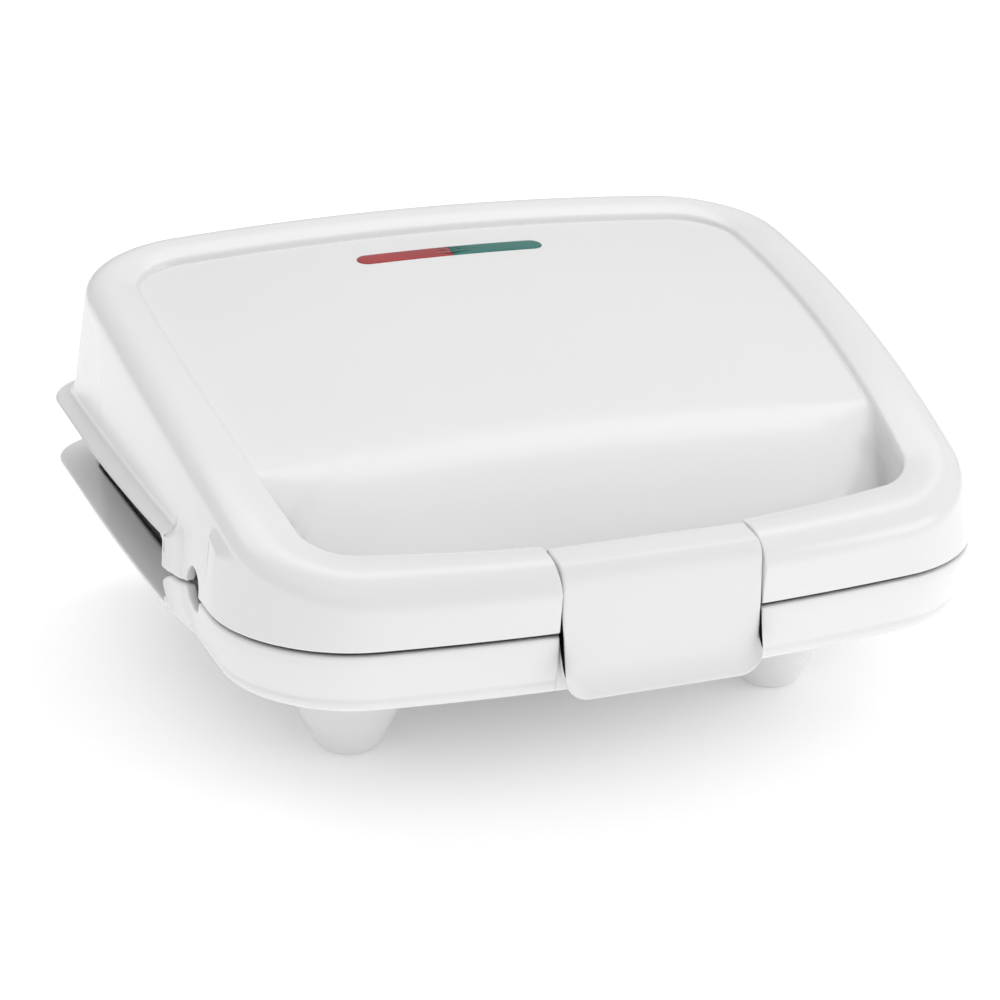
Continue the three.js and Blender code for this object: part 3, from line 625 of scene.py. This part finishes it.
def upper_shell():
    cols = Columns(True)
    normal = cols.normals()
    wall = inset(LID_TOP, -FILLET_OUT)
    top = cols.outline(wall)[0]
    far_z = RIM_Z - FILLET_DOWN + crown(top.real, top.imag)
    y, z, d, bz = wall_grid(cols, True, SEAM_UP, LIP_UP, far_z, 26)
    on_side = np.zeros(cols.n, bool)
    on_side[cols.starts[3]:cols.starts[7]] = True
    local_top = np.where(on_side, RIM_Z - FILLET_DOWN + crown(top.real, y), far_z)
    local_top[-1] = far_z
    base = cols.outline(between(BODY, wall, (z - PARTING) / (local_top - PARTING)), y)
    lip = lip_out(base.imag, z, True)
    wall_rows = rows3(base + normal * (lip - arc_drop(d, EDGE_R)), z)

    # under face, from the middle of the ceiling outwards past the plate's hole
    hole = cols.radial(PLATE_HOLE, HOLE_CENTRE)
    step = np.where(bz < LIP_UP - 0.1, 1.4 * np.clip((LIP_UP - bz) / 2.0, 0, 1), 0.0)
    inner = []
    for share in (0.25, 0.5, 0.75, 0.93, 1.0):
        p = LID_POLE + (hole - LID_POLE) * share
        inner.append(rows3(p, roof(p)))
    inner.append(rows3(hole, 78.6))
    inner.append(rows3(hole, bz + step + 0.3))
    for share in (0.05, 0.6):
        inner.append(rows3(hole + (base[0] - DECK_IN * normal - hole) * share, bz + step))
    for off, dz in ((-DECK_IN, 1.0), (-3.1, 0.85), (-2.95, 0.3), (-2.7, 0.0)):
        inner.append(rows3(base[0] + normal * off, bz + step * dz))
    inner.append(edge_row(base[0], normal, lip_out(base[0].imag, bz, True), bz))
    under = np.concatenate(inner)

    # rim: fillet, gentle crown, rounded inner arris, then the wall down to the panel
    fillet = np.array([(-FILLET_OUT, -FILLET_DOWN), (-0.95, -1.5), (1.1, 0.72), (5.6, 0.7)])
    rim = []
    for u in np.linspace(0, 1, 11)[1:]:
        w = 1 - u
        rim.append(w**3 * fillet[0] + 3 * w * w * u * fillet[1] + 3 * w * u * u * fillet[2] + u**3 * fillet[3])
    rim += [(8.0, 0.38), (10.5, -0.3), (12.8, -1.15), (14.3, -1.75), (14.9, -2.0), (15.35, -2.3), (15.6, -2.7)]
    rows = []
    for i, dz in rim:
        p = cols.outline(inset(LID_TOP, i))[0]
        rows.append(rows3(p, RIM_Z + dz + crown(p.real, p.imag)))
    arris = rows[-1][0]
    foot = cols.outline(inset(LID_TOP, 17.2))[0]
    foot_z = panel(foot.real, foot.imag)
    groove_z = foot_z - 0.3
    for i, share in ((15.7, 0.16), (15.82, 0.45), (15.95, 0.78)):
        p = cols.outline(inset(LID_TOP, i))[0]
        rows.append(rows3(p, np.minimum(arris[:, 2] + (groove_z - arris[:, 2]) * share, arris[:, 2] - 0.02)))
    for i, depth in ((16.1, 0.3), (16.45, 0.3), (16.75, 0.04)):
        p = cols.outline(inset(LID_TOP, i))[0]
        rows.append(rows3(p, np.minimum(foot_z - depth, arris[:, 2] - 0.02)))
    rows.append(rows3(foot, foot_z))

    # panel rings, denser where it rolls down and near its edge
    samples, rings = 500, 64
    v = np.linspace(0, 1, samples)
    length = abs(LID_POLE - foot)
    ray = foot[None] + (LID_POLE - foot)[None] * v[:, None]
    ahead = ray.imag - roll_end(ray.real)
    crossed = np.argmax(ahead > 0, 0) / (samples - 1) * length
    s_c = np.where(ahead[0] > 0, -ahead[0], crossed)
    s = v[:, None] * length
    density = 0.12 + 0.7 * np.exp(-s / 2.5) + 2.2 * np.exp(-((s - s_c - 1.2) / 2.2) ** 2) \
        + 0.45 * np.exp(-((s - s_c - 12) / 13) ** 2)
    total = np.cumsum(density, 0)
    total = (total - total[0]) / (total[-1] - total[0])
    for k in range(1, rings):
        at = np.array([np.interp(k / rings, total[:, c], v) for c in range(cols.n)])
        p = foot + (LID_POLE - foot) * at
        rows.append(rows3(p, panel(p.real, p.imag)))

    half = np.concatenate([under, wall_rows] + rows)
    sink_lid_front(half, len(under), len(wall_rows), len(rim))
    first = (0, LID_POLE.imag, float(roof(np.array(LID_POLE))))
    last = (0, LID_POLE.imag, float(panel(LID_POLE.real, LID_POLE.imag)))
    verts, faces = skin(whole(half), first, last)
    new_piece("lid_shell", verts, faces, "lid", WHITE, ("upper_housing",))


KNUCKLE_FLOOR, KNUCKLE_BACK_FLOOR, KNUCKLE_BACK_Y = 76.9, 76.2, -104.9


def sink_lid_front(half, under, wall, rim):
    """Sinks the front middle of the lid so that the latch and its knuckle lie in it."""
    y = half[:, RECESS_COLUMNS, 1]
    z = half[:, RECESS_COLUMNS, 2]
    part = np.arange(len(half))[:, None]
    outer = (part >= under - 1) & (part < under + wall + rim + 7)
    on_top = part >= under + wall
    on_rim = on_top & (part < under + wall + rim)
    deep_y = np.maximum(y, RECESS_Y + 1.6 * np.clip((z - 73.5) / 3.5, 0, 1) ** 2)
    deep_z = np.minimum(z, np.where(y > KNUCKLE_BACK_Y, KNUCKLE_BACK_FLOOR, KNUCKLE_FLOOR))
    new_y = y + (deep_y - y) * SUNK + np.where(on_top, 0, 1) * ROUND_OFF
    new_z = z + (deep_z - z) * SUNK - np.where(on_rim, 1, 0) * ROUND_OFF
    half[:, RECESS_COLUMNS, 1] = np.where(outer, new_y, y)
    half[:, RECESS_COLUMNS, 2] = np.where(outer, new_z, z)


BASE_POLE = complex(0, 10)
BELLY_Z, INNER_FLOOR = 30.0, 33.0


def drawn_in(z):
    """How far the lower wall leans inwards at a height."""
    return 0.3 + 2.2 * (np.clip(61.4 - z, 0, 30) / 11) ** 1.3


def lower_shell():
    cols = Columns(False)
    normal = cols.normals()
    y, z, d, bz = wall_grid(cols, False, SEAM_LOW, LIP_LOW, np.full(cols.n, 49.6), 16)
    base = cols.outline(inset(BODY, drawn_in(z)), y)
    lip = lip_out(base.imag, z, False)
    wall_rows = rows3(base + normal * (lip - arc_drop(d, EDGE_R)), z)[::-1]

    # underside, from its middle outwards; belly is (inset, height)
    flat_in = 44
    belly = rounded([(120, BELLY_Z), (flat_in, BELLY_Z), (20, 38.6), (7.0, 45.0), (2.95, 46.6), (2.66, 49.5)],
                    [60, 30, 9, 2.2])
    ring = cols.radial(inset(BODY, flat_in), BASE_POLE)
    under = [rows3(BASE_POLE + (ring - BASE_POLE) * share, BELLY_Z) for share in (0.3, 0.7)]
    for i, height in belly[belly[:, 0] <= flat_in]:
        p = cols.outline(inset(BODY, i))[0] if i < 12 else cols.radial(inset(BODY, i), BASE_POLE)
        out = lip_out(p.imag, np.full(cols.n, height), False)
        under.append(rows3(p + normal * out, height))
    under = np.concatenate(under)

    # upper face, from the edge inwards: deck, plate's hole, inner floor
    hole = cols.radial(PLATE_HOLE, HOLE_CENTRE)
    step = np.where(bz > LIP_LOW + 0.1, 2.4 * np.clip((bz - LIP_LOW) / 3.0, 0, 1), 0.0)
    rows = [edge_row(base[0], normal, lip_out(base[0].imag, bz, False), bz)]
    for off, dz in ((-2.6, 0.0), (-2.95, 0.2), (-3.1, 0.85), (-DECK_IN, 1.0)):
        rows.append(rows3(base[0] + normal * off, bz - step * dz))
    for share in (0.6, 0.05):
        rows.append(rows3(hole + (base[0] - DECK_IN * normal - hole) * share, bz - step))
    rows.append(rows3(hole, bz - step - 0.3))
    rows.append(rows3(hole, 45.0))
    rows.append(rows3(cols.radial(inset(BODY, 18.0), BASE_POLE), 40.8))
    low = cols.radial(inset(BODY, 45.0), BASE_POLE)
    rows.append(rows3(low, 33.2))
    rows.append(rows3(BASE_POLE + (low - BASE_POLE) * 0.5, INNER_FLOOR))
    half = np.concatenate([under, wall_rows] + rows)

    # recess for the latch
    y = half[:, RECESS_COLUMNS, 1]
    z = half[:, RECESS_COLUMNS, 2]
    deep = np.maximum(y, np.where(z > 40.0, RECESS_Y + 0.8 * np.clip((51.5 - z) / 8, 0, 1), y))
    part = np.arange(len(half))[:, None]
    outer = (part >= len(under) - 8) & (part < len(under) + len(wall_rows) + 1)
    half[:, RECESS_COLUMNS, 1] = np.where(outer, y + (deep - y) * SUNK + ROUND_OFF, y)

    verts, faces = skin(whole(half), (0, BASE_POLE.imag, BELLY_Z), (0, BASE_POLE.imag, INNER_FLOOR))
    new_piece("base_shell", verts, faces, "base", WHITE, ("lower_housing",))


upper_shell()
lower_shell()


# ---------------------------------------------------------------- latch
LATCH_CORNER, CORNER_TOP = 7.0, 62.0  # radius of the bottom corners; height above which nothing lifts
LATCH_ARRIS = 0.7


def prism(section, stations):
    """Closed section (y, z) swept along x; each station is (x, inset, lift of the bottom end)."""
    sec = np.array(section, float)
    way = np.roll(sec, -1, 0) - np.roll(sec, 1, 0)
    way /= np.linalg.norm(way, axis=1)[:, None]
    inwards = np.stack([-way[:, 1], way[:, 0]], 1)
    rings = []
    for x, margin, lift in stations:
        q = sec + inwards * margin
        room = CORNER_TOP - q[:, 1].min()
        z = CORNER_TOP - np.maximum(CORNER_TOP - q[:, 1], 0) * (room - lift) / room
        z = np.where(q[:, 1] < CORNER_TOP, z, q[:, 1])
        rings.append(np.stack([np.full(len(q), x), q[:, 0], z], 1))
    grid = np.array(rings)[::-1]
    verts, faces = skin(grid)
    n = grid.shape[1]
    k = np.arange(n)
    faces.append(k[::-1].tolist())
    faces.append(((len(grid) - 1) * n + k).tolist())
    return verts, faces


def latch_stations():
    """From one end to the other: rounded arrises, closely spaced stations where the bottom corners turn."""
    start = LATCH_HALF - LATCH_CORNER
    half = [(LATCH_HALF - LATCH_ARRIS * (1 - math.sin(t)), LATCH_ARRIS * (1 - math.cos(t)))
            for t in np.linspace(math.pi / 2, 0, 6)]
    stop = math.asin((LATCH_CORNER - LATCH_ARRIS) / LATCH_CORNER)
    half += [(start + LATCH_CORNER * math.sin(t), 0.0) for t in np.linspace(stop, 0, 14)[1:]]
    half += [(start * k, 0.0) for k in (0.75, 0.5, 0.25)]
    both = [(-x, m) for x, m in half] + [(0.0, 0.0)] + half[::-1]
    lifted = []
    for x, margin in both:
        past = min(LATCH_CORNER, max(0.0, abs(x) - start))
        lifted.append((x, margin, LATCH_CORNER - math.sqrt(LATCH_CORNER**2 - past**2)))
    return lifted


def quad(a, c, b, n):
    """n points of a quadratic from a to b, drawn towards c."""
    t = np.linspace(0, 1, n)[:, None]
    return (1 - t) ** 2 * np.array(a) + 2 * t * (1 - t) * np.array(c) + t * t * np.array(b)


def latch_flap():
    """Outside from the top's rear down to the flared tip, inside back up, knuckle round the pin."""
    outer = np.concatenate([
        quad((-105.7, 84.55), (-105.75, 85.3), (-106.5, 85.35), 4),
        quad((-106.5, 85.35), (-111, 85.1), (-115.4, 84.45), 6)[1:],
        quad((-115.4, 84.45), (-119.0, 83.7), (-119.3, 78.6), 12)[1:],
        quad((-119.3, 78.6), (-119.5, 66), (-119.1, 54.5), 8)[1:],
        quad((-119.1, 54.5), (-119.0, 50.2), (-121.6, 46.6), 10)[1:],
    ])
    tip = np.array([(-121.95, 46.05), (-121.9, 45.7), (-121.4, 45.6), (-120.7, 45.75)])
    inner = np.concatenate([
        quad((-119.9, 46.1), (-116.6, 50.2), (-116.4, 54.0), 8),
        quad((-116.4, 54.0), (-116.5, 66), (-116.3, 76.2), 8)[1:],
        quad((-116.3, 76.2), (-116.0, 80.4), (-113.8, 80.9), 8)[1:],
        quad((-113.8, 80.9), (-112.5, 81.2), (-110.9, 81.1), 4)[1:],
    ])
    a = np.linspace(math.pi * 1.03, math.pi * 2.42, 18)
    knuckle = np.stack([PIN_Y + KNUCKLE * np.cos(a), PIN_Z + KNUCKLE * np.sin(a)], 1)
    section = np.concatenate([outer, tip, inner, knuckle])
    verts, faces = prism(section, latch_stations())
    new_piece("latch_flap", verts, faces, "latch", SATIN, ("latch",))


latch_flap()


# ---------------------------------------------------------------- hinge ears and the gland's boss
BORE, EAR_WIDTH = 2.1, 6.0
EAR_ARRIS = ((0.0, -0.7), (0.1, -0.35), (0.35, -0.1), (0.7, 0.0))  # (in from the side, added to the reach)
BASE_EAR_X, BASE_EAR_ROOT = (-75.0, 69.0), 51.0
LID_EAR_X, LID_EAR_ROOT = (-81.3, 75.3), 78.5


def hinge_ear(name, x0, root, body):
    """Arched ear round the pin, from its root to the pin's axis, with rounded arrises and a bore."""
    x1 = x0 + EAR_WIDTH
    a = np.linspace(0, 2 * np.pi, 96, endpoint=False)
    down = (root - HINGE_Z) * np.sin(a) > 0
    straight = np.minimum(EAR_R / np.maximum(abs(np.cos(a)), 1e-6),
                          abs(root - HINGE_Z) / np.maximum(abs(np.sin(a)), 1e-6))
    reach = np.where(down, straight, EAR_R)
    bore, mouth = np.full(a.shape, BORE), np.full(a.shape, BORE + 0.3)
    rows = [(x0 + 0.3, bore), (x0, mouth)] + [(x0 + i, reach + r) for i, r in EAR_ARRIS]
    rows.append((x0 + EAR_WIDTH / 2, reach))
    rows += [(x1 - i, reach + r) for i, r in EAR_ARRIS[::-1]] + [(x1, mouth), (x1 - 0.3, bore)]
    grid = [np.stack([np.full(a.shape, x), HINGE_Y + r * np.cos(a), HINGE_Z + r * np.sin(a)], 1)
            for x, r in rows]
    verts, faces = skin(np.array(grid), loop=True)
    new_piece(name, verts, faces, body, WHITE)


for side, base_x, lid_x in zip(("left", "right"), BASE_EAR_X, LID_EAR_X):
    hinge_ear(f"base_ear_{side}", base_x, BASE_EAR_ROOT, "base")
    hinge_ear(f"lid_ear_{side}", lid_x, LID_EAR_ROOT, "lid")


def gland_boss():
    """Collar round the cable gland, standing out of the rear wall; turned about the y axis."""
    profile = rounded([(6.0, 112), (10.5, 112), (10.5, GLAND_REAR), (5.15, GLAND_REAR), (5.15, 112.4)],
                      [0.2, 1.0, 0.5])
    turned = lathe(profile, 64)
    grid = np.stack([GLAND_X - turned[..., 0], turned[..., 2], GLAND_Z + turned[..., 1]], -1)
    verts, faces = skin(grid, loop=True)
    new_piece("gland_boss", verts, faces, "base", WHITE)


gland_boss()


# ---------------------------------------------------------------- feet
FOOT_BORE_TOP, FOOT_TOP = 21.5, 30.6


def feet():
    """Hollow-soled cones, turned from a profile of (radius, height)."""
    profile = rounded([(0, FOOT_BORE_TOP), (4.2, FOOT_BORE_TOP), (4.2, SOLE), (8.7, SOLE), (10.6, 7.4),
                       (15.1, 16.6), (17.9, 26.0), (18.3, FOOT_TOP), (0, FOOT_TOP)],
                      [0.4, 0.5, 3.2, 6, 8, 3, 0.6], 7)
    for row, y in zip(("front", "rear"), FOOT_Y):
        for side, x in (("left", -FOOT_X), ("right", FOOT_X)):
            grid = lathe(profile[1:-1], 72) + np.array([x, y, 0])
            verts, faces = skin(grid, (x, y, FOOT_BORE_TOP), (x, y, FOOT_TOP))
            new_piece(f"foot_cone_{row}_{side}", verts, faces, "base", WHITE,
                      (f"foot_{row}_{side}",))


feet()


# ---------------------------------------------------------------- indicator lenses
LENS_JOINT = 0.04  # from the middle to where each lens begins
LENS_CROWN, LENS_DEPTH = 0.45, 5.5  # height of the top's middle above the panel, and the lens's depth
LENS_RINGS = ((0.0, -5.0), (0.0, -0.15), (0.05, 0.05), (0.18, 0.2), (0.45, 0.3), (1.2, 0.38), (2.4, 0.42),
              (3.4, 0.44))  # (inset, height above the panel)


def lens(name, sign, material, node):
    """Half of a pill on the side of x that sign gives, following the panel's slope and crown."""
    r, reach, joint = WINDOW_R, sign * (WINDOW_REACH - WINDOW_R), sign * LENS_JOINT
    turn = np.linspace(-math.pi / 2, math.pi / 2, 25) + (math.pi if sign < 0 else 0.0)
    outline = [(reach + r * math.cos(a), r * math.sin(a)) for a in turn]
    outline += [(x, sign * r) for x in np.linspace(reach, joint, 12)[1:]]
    outline += [(joint, y) for y in np.linspace(sign * r, -sign * r, 9)[1:-1]]
    outline += [(x, -sign * r) for x in np.linspace(joint, reach, 12)[:-1]]
    p = np.array(outline)
    way = np.roll(p, -1, 0) - np.roll(p, 1, 0)
    way /= np.linalg.norm(way, axis=1)[:, None]
    inward = np.stack([-way[:, 1], way[:, 0]], 1)
    at_joint = np.abs(p[:, 0]) < 1
    rings = []
    for shrink, z in LENS_RINGS:
        q = p + inward * shrink
        q[:, 1] = np.clip(q[:, 1], -r, r)
        q[at_joint, 0] = p[at_joint, 0] * (1 + 0.3 * shrink)
        y = q[:, 1] + WINDOW_Y
        rings.append(np.stack([q[:, 0], y, panel(q[:, 0], y) + z], 1))
    middle = sign * (WINDOW_REACH + LENS_JOINT) / 2
    top = float(panel(middle, WINDOW_Y)) + LENS_CROWN
    verts, faces = skin(np.array(rings), (middle, WINDOW_Y, top - LENS_DEPTH), (middle, WINDOW_Y, top))
    new_piece(name, verts, faces, "lid", material, (node,))


lens("lens_red", -1, RED, "indicator_lens_red")
lens("lens_green", 1, GREEN, "indicator_lens_green")


# ---------------------------------------------------------------- CAD nodes that stay
KEPT = {
    "steel": (STEEL, ("foot_screw_front_left", "foot_screw_front_right", "foot_screw_rear_left",
                      "foot_screw_rear_right", "lower_reflector", "upper_reflector", "thermostat",
                      "hinge_pin_left", "hinge_pin_right", "latch_pin")),
    "element_sheath": (SHEATH, ("lower_heating_element", "upper_heating_element")),
    "nonstick_coating": (COATING, ("lower_plate", "upper_plate")),
    "ceramic": (CERAMIC, ("thermal_fuse", "terminal_block")),
    "black_plastic": (BLACK, ("cable_gland", "lamp_holder")),
    "lamp_glass": (LAMP_RED, ("power_lamp",)),
}
ARRIS_WIDTH, ARRIS_ANGLE = 0.0004, math.radians(40)


def dress(node, material):
    node.data.materials.clear()
    node.data.materials.append(material)


def soften(node):
    """Rounds the arrises of a carried-over solid with a modifier."""
    arris = node.modifiers.new("arris", "BEVEL")
    arris.width = ARRIS_WIDTH
    arris.segments = 2
    arris.limit_method = "ANGLE"
    arris.angle_limit = ARRIS_ANGLE
    arris.harden_normals = True


for slot_name, (material, names) in KEPT.items():
    for node_name in names:
        dress(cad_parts[node_name], material)
        soften(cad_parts[node_name])
dress(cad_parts["ready_lamp"], LAMP_GREEN)

# ---------------------------------------------------------------- studio, in metres
EYE = Vector((-253.01, -693.36, 341.11 - SOLE)) * MM
TARGET = Vector((-2.208, 8.647, 54.505 - SOLE)) * MM
FOCAL = 89.21
FLOOR_HALF = 6.0
HORIZON, ZENITH = (0.34, 0.34, 0.34), (0.77, 0.77, 0.77)

scene = bpy.context.scene
camera_data = bpy.data.cameras.new("camera")
camera = bpy.data.objects.new("camera", camera_data)
scene.collection.objects.link(camera)
camera_data.lens = FOCAL
camera_data.sensor_width = 36.0
camera_data.clip_start, camera_data.clip_end = 0.01, 50.0
camera.location = EYE
camera.rotation_mode = "QUATERNION"
camera.rotation_quaternion = (TARGET - EYE).to_track_quat("-Z", "Y")
scene.camera = camera

floor_mesh = bpy.data.meshes.new("floor")
corners = [(-FLOOR_HALF, -FLOOR_HALF, 0), (FLOOR_HALF, -FLOOR_HALF, 0), (FLOOR_HALF, FLOOR_HALF, 0),
           (-FLOOR_HALF, FLOOR_HALF, 0)]
floor_mesh.from_pydata(corners, [], [(0, 1, 2, 3)])
floor = bpy.data.objects.new("floor", floor_mesh)
scene.collection.objects.link(floor)
floor_mesh.materials.append(floor_material())

world = bpy.data.worlds.new("studio")
scene.world = world
world.use_nodes = True
sky = world.node_tree
background = sky.nodes["Background"]
direction = sky.nodes.new("ShaderNodeTexCoord")
lean = sky.nodes.new("ShaderNodeVectorMath")
lean.operation = "DOT_PRODUCT"
lean.inputs[1].default_value = (0.28, -0.2, 1.0)
sky.links.new(direction.outputs["Generated"], lean.inputs[0])
shade = ramp(sky, lean.outputs["Value"], [(0.0, HORIZON), (0.6, ZENITH)])
sky.links.new(shade.outputs[0], background.inputs[0])
background.inputs[1].default_value = 1.0


def area_light(name, place, aim, size_x, size_y, power):
    """Rectangular lamp at place, turned towards aim."""
    data = bpy.data.lights.new(name, "AREA")
    data.shape = "RECTANGLE"
    data.size, data.size_y = size_x, size_y
    data.energy = power
    light = bpy.data.objects.new(name, data)
    scene.collection.objects.link(light)
    light.location = place
    light.rotation_mode = "QUATERNION"
    light.rotation_quaternion = (Vector(aim) - Vector(place)).to_track_quat("-Z", "Y")


area_light("overhead", (0.0, 0.62, 1.5), (0, 0, 0.08), 2.4, 0.6, 6.8)
area_light("left_top", (-0.85, -0.7, 1.35), (0, 0, 0.08), 0.9, 0.9, 0.9)
area_light("right_front", (1.3, -0.9, 0.7), (0, 0, 0.06), 0.8, 0.6, 3.5)

scene.view_settings.view_transform = "Standard"
scene.view_settings.look = "None"
